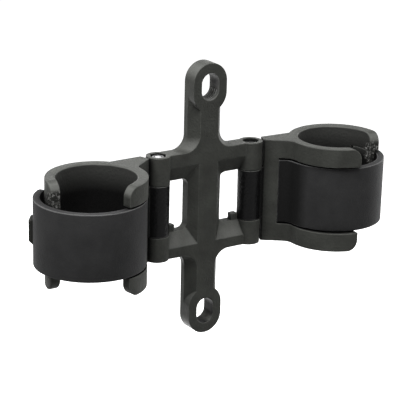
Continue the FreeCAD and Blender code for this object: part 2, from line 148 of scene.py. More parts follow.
WHITE, PAPER, SHADE = ((value, value, value, 1.0) for value in (1.0, 0.8, 0.06))
FLOOR_GLOW = 0.95
pale = bpy.data.materials.new("pale_floor")
pale.use_nodes = True
tree = pale.node_tree
tree.nodes.clear()
paper = add_node(tree, "ShaderNodeBsdfDiffuse", Color=PAPER)
glow = add_node(tree, "ShaderNodeEmission", Color=WHITE, Strength=FLOOR_GLOW)
both = add_node(tree, "ShaderNodeAddShader")
feed(tree, paper.outputs[0], both.inputs[0])
feed(tree, glow.outputs[0], both.inputs[1])
shade = add_node(tree, "ShaderNodeBsdfDiffuse", Color=SHADE)
choose_white(tree, shade.outputs[0], both.outputs[0], add_node(tree, "ShaderNodeOutputMaterial"))
floor.data.materials.append(pale)
print("finish", pale.name)


# %% Make the surroundings
def remap(tree, value, reach, result=(0.0, 1.0), interpolation="LINEAR"):
    """Map a value from one range to another and hold it at the ends."""
    node = add_node(tree, "ShaderNodeMapRange", interpolation_type=interpolation, Value=value)
    for label, number in zip(("From Min", "From Max", "To Min", "To Max"), (*reach, *result)):
        feed(tree, number, node.inputs[label])
    return node.outputs[0]


LOW_LIGHT, HIGH_LIGHT, LIGHT_RISE = 0.005, 0.01, (-0.2, 0.7)
world = bpy.data.worlds.new("white_sweep")
bpy.context.scene.world = world
world.use_nodes = True
tree = world.node_tree
tree.nodes.clear()
sky = add_node(tree, "ShaderNodeTexCoord").outputs["Generated"]
height = add_node(tree, "ShaderNodeSeparateXYZ", Vector=sky).outputs["Z"]
fade = remap(tree, height, LIGHT_RISE, (LOW_LIGHT, HIGH_LIGHT), "SMOOTHSTEP")
room = add_node(tree, "ShaderNodeBackground", Color=WHITE, Strength=fade)
white = add_node(tree, "ShaderNodeBackground", Color=WHITE, Strength=1.0)
choose_white(tree, room.outputs[0], white.outputs[0], add_node(tree, "ShaderNodeOutputWorld"))
bpy.context.scene.view_settings.view_transform = "Standard"
print("surroundings from", LOW_LIGHT, "at the floor to", HIGH_LIGHT, "overhead")

# %% Hang the lamps
# Each lamp's name, place in metres, size in metres and power in watts.
LAMPS = (
    ("overhead_softbox", (0.00, 0.00, 0.80), 0.70, 2.4),
    ("overhead_front", (-0.10, -0.30, 0.75), 0.70, 7.6),
    ("upper_left", (-0.60, 0.00, 0.55), 0.60, 5.2),
    ("front_fill", (0.25, -0.90, 0.15), 0.60, 1.4),
    ("right_side", (0.90, 0.10, 0.10), 0.60, 5.0),
    ("back_low", (0.30, 0.85, 0.15), 0.60, 3.5),
)
for name, spot, size, power in LAMPS:
    lamp = bpy.data.lights.new(name, "AREA")
    lamp.size = size
    lamp.energy = power
    holder = bpy.data.objects.new(name, lamp)
    bpy.context.collection.objects.link(holder)
    holder.location = spot
    holder.rotation_euler = (-Vector(spot)).to_track_quat("-Z", "Y").to_euler()
    print("lamp", name, power, "W")

# %% [markdown]
# ## Shared surface effects
# Every plastic and rubber surface here came out of a spark-eroded mould, so it has a very fine grain
# and faint cloudiness. The grain could be painted into each material, but one node group holds it, and
# each finish sets its own grain size.


# %% Build the grain group
def new_group(name, inputs, outputs):
    """Start a node group; an input without a value is a vector, and the rest are numbers."""
    group = bpy.data.node_groups.new(name, "ShaderNodeTree")
    for label, value in inputs.items():
        kind = "NodeSocketVector" if value is None else "NodeSocketFloat"
        socket = group.interface.new_socket(label, in_out="INPUT", socket_type=kind)
        if value is not None:
            socket.default_value = value
    for label in outputs:
        group.interface.new_socket(label, in_out="OUTPUT", socket_type="NodeSocketFloat")
    return group, add_node(group, "NodeGroupInput").outputs, add_node(group, "NodeGroupOutput").inputs


CELL_SHARE, SPECKLE_CUT = 0.6, (0.52, 0.66)
grain, inlets, outlets = new_group(
    "moulded_grain",
    {"Vector": None, "Grain Scale": 2600.0, "Cloud Scale": 160.0},
    ("Height", "Cloud", "Speckle"))
fine = add_node(grain, "ShaderNodeTexNoise", Scale=inlets["Grain Scale"], Detail=3.0, Roughness=0.6)
cells = add_node(
    grain, "ShaderNodeTexVoronoi", feature="SMOOTH_F1", Scale=inlets["Grain Scale"], Smoothness=0.6)
clouds = add_node(grain, "ShaderNodeTexNoise", Scale=inlets["Cloud Scale"], Detail=4.0, Roughness=0.55)
for texture in (fine, cells, clouds):
    feed(grain, inlets["Vector"], texture.inputs["Vector"])
height = add_math(grain, "MULTIPLY_ADD", cells.outputs["Distance"], CELL_SHARE, fine.outputs["Fac"])
feed(grain, height, outlets["Height"])
feed(grain, clouds.outputs["Fac"], outlets["Cloud"])
feed(grain, remap(grain, fine.outputs["Fac"], SPECKLE_CUT), outlets["Speckle"])
print("group", grain.name)

# %% [markdown]
# The outer edges are painted lighter, partly as handling wear and partly as a painted highlight along
# each edge. Their faces could be picked by hand, but a group can find them: it compares the true surface
# direction with a softened one, which differ only near an edge.

# %% Build the edge group
# The edge mask lays wear and a painted highlight on every outer edge.
EDGE_TURN, EDGE_PATCHES, LEAST_EDGE_LIGHT = (0.995, 0.82), (0.35, 0.60), 0.35
edges, inlets, outlets = new_group(
    "worn_and_highlit_edges", {"Normal": None, "Soft Normal": None, "Breakup": 0.5}, ("Edge",))
agree = add_node(edges, "ShaderNodeVectorMath", operation="DOT_PRODUCT")
feed(edges, inlets["Normal"], agree.inputs[0])
feed(edges, inlets["Soft Normal"], agree.inputs[1])
rim = remap(edges, agree.outputs["Value"], EDGE_TURN)
patches = remap(edges, inlets["Breakup"], EDGE_PATCHES, (LEAST_EDGE_LIGHT, 1.0))
feed(edges, add_math(edges, "MULTIPLY", rim, patches, clamp=True), outlets["Edge"])
print("group", edges.name)

# %% [markdown]
# Slopes that face up are painted paler, as painted light from the lamps overhead. The group finds the
# slopes by how far they lean, and lets the painted light fade again towards a level face.

# %% Build the slope light group
# Painted light: slopes that face up are made paler, fading again on level tops.
LIT_SLOPE, LEVEL_TOP_FADE = (0.10, 0.45), (0.98, 0.80)
SLOPE_LIGHT_PATCHES, LEAST_SLOPE_LIGHT = (0.30, 0.60), 0.55
slope_light, inlets, outlets = new_group("upward_slope_light", {"Normal": None, "Breakup": 0.5}, ("Lit Slope",))
lean = add_node(slope_light, "ShaderNodeSeparateXYZ", Vector=inlets["Normal"]).outputs["Z"]
sloped = add_math(slope_light, "MULTIPLY", remap(slope_light, lean, LIT_SLOPE), remap(slope_light, lean, LEVEL_TOP_FADE))
patches = remap(slope_light, inlets["Breakup"], SLOPE_LIGHT_PATCHES, (LEAST_SLOPE_LIGHT, 1.0))
feed(slope_light, add_math(slope_light, "MULTIPLY", sloped, patches, clamp=True), outlets["Lit Slope"])
print("group", slope_light.name)

# %% [markdown]
# ## Finishes
# The bracket and the clamps are glass-filled nylon: charcoal with a slight warm cast, matte, with edges
# painted paler for wear and as a painted highlight. The straps are black rubber. Both are mouldings that
# differ only in colour, gloss and grain, so both are made by two functions. The first gives a moulding its
# bare tone, on which a finish may lay marks of its own, and the second lays worn and highlit edges, painted
# light on up-facing slopes and painted shade in the creases over them all.

# %% Set the two moulding compounds
NYLON = {
    "dark": (0.037, 0.038, 0.0345),
    "light": (0.060, 0.062, 0.056),
    "edge_wear_and_highlight_tint": (0.135, 0.139, 0.128),
    "slope_light_tint": (0.110, 0.112, 0.105),
    "rough": (0.46, 0.62),
    "specular": 0.06,
    "grain_scale": 1700.0,
    "grain_depth": 0.20 * MM,
    "edge_reach": 0.45 * MM,
    "crease_reach": 3.5 * MM,
}
RUBBER = {
    "dark": (0.025, 0.025, 0.0255),
    "light": (0.036, 0.036, 0.0365),
    "edge_wear_and_highlight_tint": (0.17, 0.17, 0.171),
    "slope_light_tint": (0.15, 0.15, 0.15),
    "rough": (0.52, 0.66),
    "specular": 0.05,
    "grain_scale": 2600.0,
    "grain_depth": 0.12 * MM,
    "edge_reach": 0.50 * MM,
    "crease_reach": 9.0 * MM,
}
print("nylon", NYLON["dark"], "to", NYLON["light"], "and rubber", RUBBER["dark"], "to", RUBBER["light"])


# %% Write the bare moulding
WHOLE_RANGE, RAMP_STOPS, CREASE_SHADE_CUT = (0.0, 1.0), (0.3, 0.7), (0.97, 0.35)


def place_group(tree, group, **values):
    """Place a shared effect; an input's name is given with _ for its space."""
    node = add_node(tree, "ShaderNodeGroup", node_tree=group)
    for name, value in values.items():
        feed(tree, value, node.inputs[name.replace("_", " ")])
    return node.outputs


def ramp(tree, value, low, high):
    """Colour ramp between two greys."""
    node = add_node(tree, "ShaderNodeValToRGB", Fac=value)
    for stop, position, colour in zip(node.color_ramp.elements, RAMP_STOPS, (low, high)):
        stop.position = position
        stop.color = (*colour, 1.0)
    return node.outputs[0]


def bare_moulding(name, compound):
    """Start a moulding's material; returns what its marks and its finish build on."""
    material = bpy.data.materials.new(name)
    material.use_nodes = True
    tree = material.node_tree
    spot = add_node(tree, "ShaderNodeTexCoord").outputs["Object"]
    surface = place_group(tree, grain, Vector=spot, Grain_Scale=compound["grain_scale"])
    # Ambient occlusion gives the mask for painted shade in the creases.
    crease = add_node(tree, "ShaderNodeAmbientOcclusion", samples=8, Distance=compound["crease_reach"])
    return {
        "material": material, "tree": tree, "shader": tree.nodes["Principled BSDF"], "surface": surface,
        "axes": add_node(tree, "ShaderNodeSeparateXYZ", Vector=spot).outputs,
        "tone": ramp(tree, surface["Cloud"], compound["dark"], compound["light"]),
        "rough": remap(tree, surface["Cloud"], WHOLE_RANGE, compound["rough"]),
        "crease_shade": remap(tree, crease.outputs["AO"], CREASE_SHADE_CUT),
    }


print("a moulding goes from its dark to its light tone between cloud values", RAMP_STOPS)

# %% Write the worn and highlit edges, the slope light and the crease shade over it
# Creases are painted near black as painted shade, and lose their gloss.
CREASE_SHADE_TINT, CREASE_ROUGH, GRAIN_STRENGTH = (0.003, 0.003, 0.003), 1.0, 0.6


def lay_over(tree, below, cover, mask):
    """Lay a colour, a plain one or a socket's, over what is below it, where the mask is 1."""
    colour = (*cover, 1.0) if isinstance(cover, tuple) else cover
    node = add_node(tree, "ShaderNodeMix", data_type="RGBA", Factor=mask, A=below, B=colour)
    return node.outputs["Result"]


def blend(tree, first, second, mask):
    """Go from one number to another, where the mask is 1."""
    node = add_node(tree, "ShaderNodeMix", data_type="FLOAT", Factor=mask, A=first, B=second)
    return node.outputs["Result"]


def finish_moulding(base, compound, tone, rough):
    """Lay worn and highlit edges, painted light on up-facing slopes and painted shade in creases over a
    moulding's tone, and dress its shader with them.
    """
    tree, surface, crease_shade, sockets = base["tree"], base["surface"], base["crease_shade"], base["shader"].inputs
    soft = add_node(tree, "ShaderNodeBevel", samples=6, Radius=compound["edge_reach"]).outputs[0]
    normal = add_node(tree, "ShaderNodeNewGeometry").outputs["Normal"]
    worn_and_highlit = place_group(tree, edges, Normal=normal, Soft_Normal=soft, Breakup=surface["Cloud"])["Edge"]
    slope_lit = place_group(tree, slope_light, Normal=soft, Breakup=surface["Cloud"])["Lit Slope"]
    # Edges get wear and painted highlight, up-facing slopes painted light, creases painted shade.
    for cover, mask in ((compound["edge_wear_and_highlight_tint"], worn_and_highlit), (compound["slope_light_tint"], slope_lit), (CREASE_SHADE_TINT, crease_shade)):
        tone = lay_over(tree, tone, cover, mask)
    bump = add_node(
        tree, "ShaderNodeBump", Strength=GRAIN_STRENGTH, Distance=compound["grain_depth"],
        Height=surface["Height"], Normal=soft)
    sockets["Specular IOR Level"].default_value = compound["specular"]
    feed(tree, tone, sockets["Base Color"])
    feed(tree, blend(tree, rough, CREASE_ROUGH, crease_shade), sockets["Roughness"])
    feed(tree, bump.outputs[0], sockets["Normal"])
    print("finish", base["material"].name)


print("creases go to", CREASE_SHADE_TINT, "and lose their gloss")

# %% [markdown]
# On the bracket, the wall of the upper cage slot is painted pale as painted light, with a painted highlight
# on the crests of its ridges, and the lower slot is painted near black as painted shade. The two walls could
# take a material of their own, but they have no clean border in the solid's mesh, so a mask in the shape of
# a slot finds them by their distance from its middle line.

# %% Write the bracket finish
SLOT_LEVEL, SLOT_STRAIGHT, SLOT_RADIUS, SLOT_SKIN = 32.0 * MM, 1.0 * MM, 2.7 * MM, 0.12 * MM
RIDGE_CREST = 0.06 * MM
SLOT_SHADE, LIT_SLOT_WALL, RIDGE_CREST_HIGHLIGHT = (0.004, 0.004, 0.004), (0.13, 0.13, 0.125), (0.42, 0.42, 0.41)
bracket = bare_moulding("bracket_plastic", NYLON)
bracket_plastic, tree, axes = bracket["material"], bracket["tree"], bracket["axes"]
from_slot = add_math(tree, "SUBTRACT", add_math(tree, "ABSOLUTE", axes["Z"]), SLOT_LEVEL)
past_straight = add_math(tree, "SUBTRACT", add_math(tree, "ABSOLUTE", from_slot), SLOT_STRAIGHT)
past_straight = add_math(tree, "MAXIMUM", past_straight, 0.0)
squares = [add_math(tree, "MULTIPLY", length, length) for length in (axes["X"], past_straight)]
reach = add_math(tree, "SQRT", add_math(tree, "ADD", *squares))
slot_wall = add_math(tree, "LESS_THAN", reach, SLOT_RADIUS + SLOT_SKIN)
upper_wall = add_math(tree, "MULTIPLY", slot_wall, add_math(tree, "GREATER_THAN", axes["Z"], 0.0))
inside = add_math(tree, "LESS_THAN", reach, SLOT_RADIUS - RIDGE_CREST)
crest = add_math(tree, "MULTIPLY", upper_wall, inside)
tone = bracket["tone"]
# Painted shade in both slots, then painted light on the upper wall and a painted highlight on the ridge
# crests.
for cover, mask in ((SLOT_SHADE, slot_wall), (LIT_SLOT_WALL, upper_wall), (RIDGE_CREST_HIGHLIGHT, crest)):
    tone = lay_over(tree, tone, cover, mask)
finish_moulding(bracket, NYLON, tone, bracket["rough"])

# %% [markdown]
# The bracket's side walls were polished by the mould, so seen edge-on they catch the pale surroundings,
# as the inner walls of the two windows do. A glossier material all over would grey the front, so a thin
# coat is let in by Layer Weight at grazing angles, on faces that look neither up nor to the front, and is
# kept out of the creases.

# %% Polish the bracket's walls
WALL_POLISH, COAT_ROUGH = 0.5, 0.30
EDGE_ON, NOT_UP, NOT_FRONT = (0.35, 0.75), (0.45, 0.10), (-0.35, -0.10)
graze = add_node(tree, "ShaderNodeLayerWeight", Blend=0.5).outputs["Facing"]
normal = add_node(tree, "ShaderNodeNewGeometry").outputs["Normal"]
facing = add_node(tree, "ShaderNodeSeparateXYZ", Vector=normal).outputs
polish = add_math(tree, "SUBTRACT", 1.0, bracket["crease_shade"])
for mask in (remap(tree, graze, EDGE_ON, (0.0, WALL_POLISH)),
             remap(tree, facing["Z"], NOT_UP), remap(tree, facing["Y"], NOT_FRONT)):
    polish = add_math(tree, "MULTIPLY", polish, mask)
bracket["shader"].inputs["Coat Roughness"].default_value = COAT_ROUGH
feed(tree, polish, bracket["shader"].inputs["Coat Weight"])
print("polished", bracket_plastic.name)

# %% [markdown]
# ## Clamp arms
# Each clamp swings on a hinge, and its ring, strap and finger ends lie at slightly different angles on the
# two sides. Their places could be written as X and Y, but they are clearer along the arm and across it,
# or round the ring from the arm's own direction, and two functions turn those into places.

# %% Set the arms' sizes
HINGE = max(abs(joint["pos_m"][0]) for joint in frame["joints"])
RING_REACH, RING_INSIDE = 24.5 * MM, 10.5 * MM
ARMS = {
    "left": {"side": -1, "swing": math.radians(18.5), "finger_end": math.radians(17.0), "wall": 2.7 * MM,
             "strap_radius": 13.8 * MM, "strap_lay": math.radians(20.0)},
    "right": {"side": 1, "swing": math.radians(19.5), "finger_end": math.radians(4.0), "wall": 1.75 * MM,
              "strap_radius": 13.2 * MM, "strap_lay": math.radians(22.0)},
}


def arm_spot(arm, along, back, rise=0.0):
    """Place of a point given along the arm from the hinge, square to the arm, and up."""
    turn = -arm["side"] * arm["swing"]
    x, y = arm["side"] * along, back
    return (arm["side"] * HINGE + x * math.cos(turn) - y * math.sin(turn),
            x * math.sin(turn) + y * math.cos(turn), rise)


def ring_spot(arm, reach, angle, rise=0.0):
    """Place of a point given from the ring's centre, at an angle measured from the arm."""
    return arm_spot(arm, RING_REACH + reach * math.cos(angle), reach * math.sin(angle), rise)


def arm_heading(arm, angle):
    """Direction, seen from above, of an angle measured from the arm."""
    if arm["side"] > 0:
        return angle - arm["swing"]
    return math.pi - angle + arm["swing"]


for name, arm in ARMS.items():
    print(name, "ring at", [round(value / MM, 2) for value in ring_spot(arm, 0.0, 0.0)], "mm")

# %% [markdown]
# The clamp's middle knuckle turns between the bracket's knuckles, so it is smoother than the rest of the
# clamp, and it is painted darker as painted shade of the recess it turns in. It could be a piece of its own,
# but it is one moulding with the arm, so a mask round the hinge axis picks it out, and a wider one paints
# shade into the notch that it sits in.


# %% Paint shade on the knuckles
def near_point(tree, x, y, z, centre, radius, softness):
    """Mask that is 1 near a point; a direction given as 0, like the point's own, is not measured."""
    spot = add_node(tree, "ShaderNodeCombineXYZ", X=x, Y=y, Z=z)
    distance = add_node(tree, "ShaderNodeVectorMath", operation="DISTANCE")
    feed(tree, spot.outputs[0], distance.inputs[0])
    feed(tree, centre, distance.inputs[1])
    return remap(tree, distance.outputs["Value"], (radius, radius - softness))


KNUCKLE_RADIUS, KNUCKLE_BORDER, NOTCH_RADIUS, NOTCH_BORDER = 3.45 * MM, 0.05 * MM, 4.2 * MM, 0.15 * MM
KNUCKLE_SHADE, KNUCKLE_ROUGH, NOTCH_SHADE = (0.006, 0.006, 0.0062), 0.24, (0.002, 0.002, 0.002)
clamp = bare_moulding("clamp_plastic", NYLON)
clamp_plastic, tree, axes = clamp["material"], clamp["tree"], clamp["axes"]
off_middle, hinge_axis = add_math(tree, "ABSOLUTE", axes["X"]), (HINGE, 0.0, 0.0)
knuckle = near_point(tree, off_middle, axes["Y"], 0.0, hinge_axis, KNUCKLE_RADIUS, KNUCKLE_BORDER)
notch = near_point(tree, off_middle, axes["Y"], 0.0, hinge_axis, NOTCH_RADIUS, NOTCH_BORDER)
clamp_rough = blend(tree, clamp["rough"], KNUCKLE_ROUGH, knuckle)
# The notch and the knuckle get painted shade.
clamp_tone = lay_over(tree, clamp["tone"], NOTCH_SHADE, notch)
clamp_tone = lay_over(tree, clamp_tone, KNUCKLE_SHADE, knuckle)
print("knuckles darkened round x =", round(HINGE / MM, 2), "mm on both sides")

# %% [markdown]
# The ring's inside is painted darker with depth, as painted shade deep in the bore, and the two upper back
# finger ends are rough, where the mould's gate was broken off and left pale specks on dark, torn plastic.
# An image could show both, but masks round the ring's centre and round each finger end need no picture.

# %% Paint shade in the rings and finish the clamps
BORE_RADIUS, BORE_BORDER, BORE_DEPTH = RING_INSIDE + 0.08 * MM, 0.03 * MM, (3.0 * MM, 17.0 * MM)
BORE_DEEP_SHADE, BORE_LIGHT = (0.004, 0.004, 0.004), (0.042, 0.0425, 0.040)
GATE_REACH, GATE_LEVEL, GATE_RADIUS, GATE_BORDER = 11.9 * MM, 9.2 * MM, 4.0 * MM, 1.2 * MM
TORN_TONE, TORN_SHARE, SPECK_TONE = (0.014, 0.014, 0.0135), 0.7, (0.28, 0.28, 0.27)
# Painted shade: each bore goes from near black low down to the plain tone near its mouth.
bore_shade_ramp = ramp(tree, remap(tree, axes["Z"], BORE_DEPTH), BORE_DEEP_SHADE, BORE_LIGHT)
for arm in ARMS.values():
    ring = ring_spot(arm, 0.0, 0.0)
    bore = near_point(tree, axes["X"], axes["Y"], 0.0, ring, BORE_RADIUS, BORE_BORDER)
    clamp_tone = lay_over(tree, clamp_tone, bore_shade_ramp, bore)
for arm in ARMS.values():
    gate_spot = ring_spot(arm, GATE_REACH, arm["finger_end"], GATE_LEVEL)
    gate = near_point(tree, *axes, gate_spot, GATE_RADIUS, GATE_BORDER)
    specks = add_math(tree, "MULTIPLY", gate, clamp["surface"]["Speckle"])
    clamp_tone = lay_over(tree, clamp_tone, TORN_TONE, add_math(tree, "MULTIPLY", gate, TORN_SHARE))
    clamp_tone = lay_over(tree, clamp_tone, SPECK_TONE, specks)
finish_moulding(clamp, NYLON, clamp_tone, clamp_rough)

# %% [markdown]
# The bolts and the nuts are dark, oiled steel, and the end of the bolt inside each nut is bright. Both
# have fine tumbling marks, which could be scratched in by a picture, but the same grain group gives them
# at a much smaller size.

# %% Write the steel finishes
MARK_SCALE, TARNISH_SCALE, MARK_STRENGTH, MARK_DEPTH = 4200.0, 900.0, 0.35, 0.03 * MM


def steel(name, dark, light, rough):
    """Tumbled steel between two tones and two roughnesses."""
    material = bpy.data.materials.new(name)
    material.use_nodes = True
    tree = material.node_tree
    sockets = tree.nodes["Principled BSDF"].inputs
    spot = add_node(tree, "ShaderNodeTexCoord").outputs["Object"]
    marks = place_group(tree, grain, Vector=spot, Grain_Scale=MARK_SCALE, Cloud_Scale=TARNISH_SCALE)
    bump = add_node(
        tree, "ShaderNodeBump", Strength=MARK_STRENGTH, Distance=MARK_DEPTH, Height=marks["Height"])
    sockets["Metallic"].default_value = 1.0
    feed(tree, ramp(tree, marks["Cloud"], dark, light), sockets["Base Color"])
    feed(tree, remap(tree, marks["Cloud"], WHOLE_RANGE, rough), sockets["Roughness"])
    feed(tree, bump.outputs[0], sockets["Normal"])
    print("finish", name)
    return material


bright_steel = steel(
    "hinge_steel", dark=(0.42, 0.42, 0.43), light=(0.72, 0.72, 0.73), rough=(0.30, 0.50))
oiled_steel = steel(
    "oiled_steel", dark=(0.10, 0.10, 0.105), light=(0.26, 0.26, 0.265), rough=(0.28, 0.50))

# %% [markdown]
# The rubber is dull, and it is painted darkest at the root, as painted shade where the strap dives into
# the arm. A vertex colour could hold that, but the distance from the strap's own bend is simpler.

# %% Write the rubber finish
BEND_CENTRE, BEND_RADIUS = (8.3 * MM, -4.9 * MM), 4.4 * MM
ROOT_REACH, ROOT_FADE, ROOT_SHADE = 6.8 * MM, 2.6 * MM, (0.012, 0.012, 0.012)
rubber = bare_moulding("strap_rubber", RUBBER)
strap_rubber, tree, axes = rubber["material"], rubber["tree"], rubber["axes"]
tone = rubber["tone"]
for arm in ARMS.values():
    bend = arm_spot(arm, *BEND_CENTRE)
    root = near_point(tree, axes["X"], axes["Y"], 0.0, bend, ROOT_REACH, ROOT_FADE)
    # Painted shade round each strap's root.
    tone = lay_over(tree, tone, ROOT_SHADE, root)
finish_moulding(rubber, RUBBER, tone, rubber["rough"])

# %% Dress the solids
FINISHES = {"bracket": bracket_plastic, "clamp": clamp_plastic, "strap": strap_rubber,
            "bolt": oiled_steel, "nut": bright_steel}
for name, node in nodes.items():
    finish = FINISHES[name.split("_")[-1]]
    node.data.materials.clear()
    node.data.materials.append(finish)
    print(name, "wears", finish.name)

# %% [markdown]
# ## Rubber straps
# Each strap is a flat moulded band: it is rooted in the clamp's arm, bends out through the front window,
# wraps the tube and hooks on a post at the back, where its tail ends in a rounded tab. A curve with a
# bevel profile could follow that path, but its ends could not be rounded. So one upright slice of the band
# is spun round the tube, then back round the bend at the root. The tab's corners come from making the
# slice taller step by step, and a bevel softens every edge as rubber flows in a mould.

# %% Write the steps that spun pieces share
CORNER, SEAM = math.radians(40.0), 0.001 * MM


def finish_by(piece, kind, **values):
    """Add a modifier, set it and apply it."""
    bpy.context.view_layer.objects.active = piece
    modifier = piece.modifiers.new(kind.lower(), kind)
    for name, value in values.items():
        setattr(modifier, name, value)
    bpy.ops.object.modifier_apply(modifier=modifier.name)


def soften(piece, width, segments=3, corner=CORNER):
    """Round off every edge that turns by more than the corner angle."""
    finish_by(piece, "BEVEL", width=width, segments=segments, limit_method="ANGLE", angle_limit=corner)


def upright_slice(name, spot, heading, thick, tall):
    """Add an upright rectangle along a heading, and leave it selected in edit mode."""
    bpy.ops.object.select_all(action="DESELECT")
    bpy.ops.mesh.primitive_plane_add(size=1.0, location=spot, rotation=(math.pi / 2, 0.0, heading))
    piece = bpy.context.object
    piece.name = name
    piece.scale = (thick, tall, 1.0)
    bpy.ops.object.transform_apply(location=True, rotation=True, scale=True)
    bpy.ops.object.mode_set(mode="EDIT")
    bpy.ops.mesh.select_all(action="SELECT")
    return piece


def spin_round(centre, angle, steps):
    """Sweep the selected slice round an upright axis."""
    bpy.ops.mesh.spin(steps=steps, angle=angle, center=centre, axis=(0.0, 0.0, 1.0))


def close_seams():
    """Merge the seams, turn the faces outwards and leave edit mode."""
    bpy.ops.mesh.select_all(action="SELECT")
    bpy.ops.mesh.remove_doubles(threshold=SEAM)
    bpy.ops.mesh.normals_make_consistent(inside=False)
    bpy.ops.object.mode_set(mode="OBJECT")


print("corners over", round(math.degrees(CORNER)), "degrees are softened")

# %% Spin the bands
STRAP_HALF, STRAP_THICK, STRAP_SOFT, ROOT_LENGTH = 9.0 * MM, 1.8 * MM, 0.6 * MM, 0.4 * MM
TAIL_ANGLE, TAB_ROUND, TAB_STEPS = math.radians(90.4), 5.0 * MM, 9
WRAP_STEPS, BEND_STEPS, SOFT_STEPS = 84, 18, 4


def round_tab(arm, wrap):
    """Sweep the slice on and make it taller, step by step, along a quarter circle."""
    quarter = math.pi / 2 / TAB_STEPS
    for step in range(TAB_STEPS):
        low, high = quarter * step, quarter * (step + 1)
        onward = TAB_ROUND * (math.cos(low) - math.cos(high)) / arm["strap_radius"]
        tall = [STRAP_HALF - TAB_ROUND + TAB_ROUND * math.sin(angle) for angle in (low, high)]
        spin_round(wrap, arm["side"] * onward, 1)
        bpy.ops.transform.resize(value=(1.0, 1.0, tall[1] / tall[0]), center_override=(0.0, 0.0, 0.0))


def spin_band(name, arm):
    """Spin a strap from its tab round the tube to its root in the arm."""
    side, radius, lay = arm["side"], arm["strap_radius"], arm["strap_lay"]
    reach = BEND_RADIUS + radius
    wrap = arm_spot(arm, BEND_CENTRE[0] + reach * math.cos(lay), BEND_CENTRE[1] + reach * math.sin(lay))
    tail = arm_heading(arm, TAIL_ANGLE)
    spot = (wrap[0] + radius * math.cos(tail), wrap[1] + radius * math.sin(tail), 0.0)
    band = upright_slice(name, spot, tail, STRAP_THICK, 2 * (STRAP_HALF - TAB_ROUND))
    round_tab(arm, wrap)
    spin_round(wrap, side * (TAIL_ANGLE + math.pi - lay - TAB_ROUND / radius), WRAP_STEPS)
    spin_round(arm_spot(arm, *BEND_CENTRE), -side * (math.pi / 2 - lay), BEND_STEPS)
    start, end = (Vector(arm_spot(arm, along, 0.0)) for along in (0.0, -ROOT_LENGTH))
    bpy.ops.mesh.extrude_region_move(TRANSFORM_OT_translate={"value": end - start})
    close_seams()
    soften(band, STRAP_SOFT, SOFT_STEPS)
    return band


bands = {name: spin_band(f"{name}_strap_band", arm) for name, arm in ARMS.items()}
for band in bands.values():
    print(band.name, len(band.data.polygons), "faces")

# %% [markdown]
# Near its tail each strap has a hole that drops over the hook. It could be cut by inset and delete in edit
# mode, but a block with rounded edges, taken away by a Boolean, goes clean through the curved band.

# %% Cut the hook holes
HOOK_ANGLE, HOLE_LEVEL, HOLE_SIZE = math.radians(54.0), -0.8 * MM, (8.0 * MM, 3.8 * MM, 7.4 * MM)
HOLE_ROUND, HOLE_SOFT, HOLE_CORNER = 0.6 * MM, 0.25 * MM, math.radians(55.0)


def cut_hole(band, arm):
    """Cut the hole for the hook and soften its rims."""
    spot = ring_spot(arm, arm["strap_radius"], HOOK_ANGLE, HOLE_LEVEL)
    heading = arm_heading(arm, HOOK_ANGLE)
    bpy.ops.object.select_all(action="DESELECT")
    bpy.ops.mesh.primitive_cube_add(size=1.0, location=spot, rotation=(0.0, 0.0, heading))
    cutter = bpy.context.object
    cutter.scale = HOLE_SIZE
    bpy.ops.object.transform_apply(location=True, rotation=True, scale=True)
    bpy.ops.object.mode_set(mode="EDIT")
    bpy.ops.mesh.select_all(action="SELECT")
    bpy.ops.mesh.bevel(offset=HOLE_ROUND, segments=3, affect="EDGES")
    bpy.ops.object.mode_set(mode="OBJECT")
    finish_by(band, "BOOLEAN", operation="DIFFERENCE", solver="EXACT", object=cutter)
    bpy.data.objects.remove(cutter)
    soften(band, HOLE_SOFT, corner=HOLE_CORNER)


def select_only(piece):
    """Make one piece the only selected one, and the active one."""
    bpy.ops.object.select_all(action="DESELECT")
    piece.select_set(True)
    bpy.context.view_layer.objects.active = piece


for name, band in bands.items():
    cut_hole(band, ARMS[name])
    select_only(band)
    bpy.ops.object.shade_smooth_by_angle(angle=CORNER)
    band.data.materials.append(strap_rubber)
    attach(band, f"{name}_arm")
    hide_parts(f"{name}_strap")
    print(band.name, len(band.data.polygons), "faces with its hole")

# %% [markdown]
# ## Back walls
# Behind each strap the clamp's back wall runs on to the end of its two fingers, so that the end looks like
# one tall edge going down behind the rubber. It could be cut from a copy of the solid, but a slice that is
# spun round the ring's centre is cleaner: it starts inside the wall and stops level with the finger ends.

# %% Spin the walls
WALL_HALF, WALL_START, WALL_STEPS, WALL_SOFT = 9.6 * MM, math.radians(44.0), 16, 0.3 * MM
for name, arm in ARMS.items():
    spot = ring_spot(arm, RING_INSIDE + arm["wall"] / 2, WALL_START)
    heading = arm_heading(arm, WALL_START)
    back_wall = upright_slice(f"{name}_back_wall", spot, heading, arm["wall"], 2 * WALL_HALF)
    sweep = arm["side"] * (WALL_START - arm["finger_end"])
    spin_round(ring_spot(arm, 0.0, 0.0), sweep, WALL_STEPS)
    close_seams()
    soften(back_wall, WALL_SOFT)
    bpy.ops.object.shade_smooth_by_angle(angle=CORNER)
    back_wall.data.materials.append(clamp_plastic)
    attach(back_wall, f"{name}_arm")
    print(back_wall.name, len(back_wall.data.polygons), "faces")

# %% [markdown]
# ## Ridges in the upper slot
# The lower end of the upper cage slot has a few fine ridges across it, like a thread, which keep the bolt
# from creeping down. Displacement in the material would not reach the outline of the hole, so each ridge
# is real: half of a thin ring, sunk in the wall of the slot. One is modelled and the others are copies.

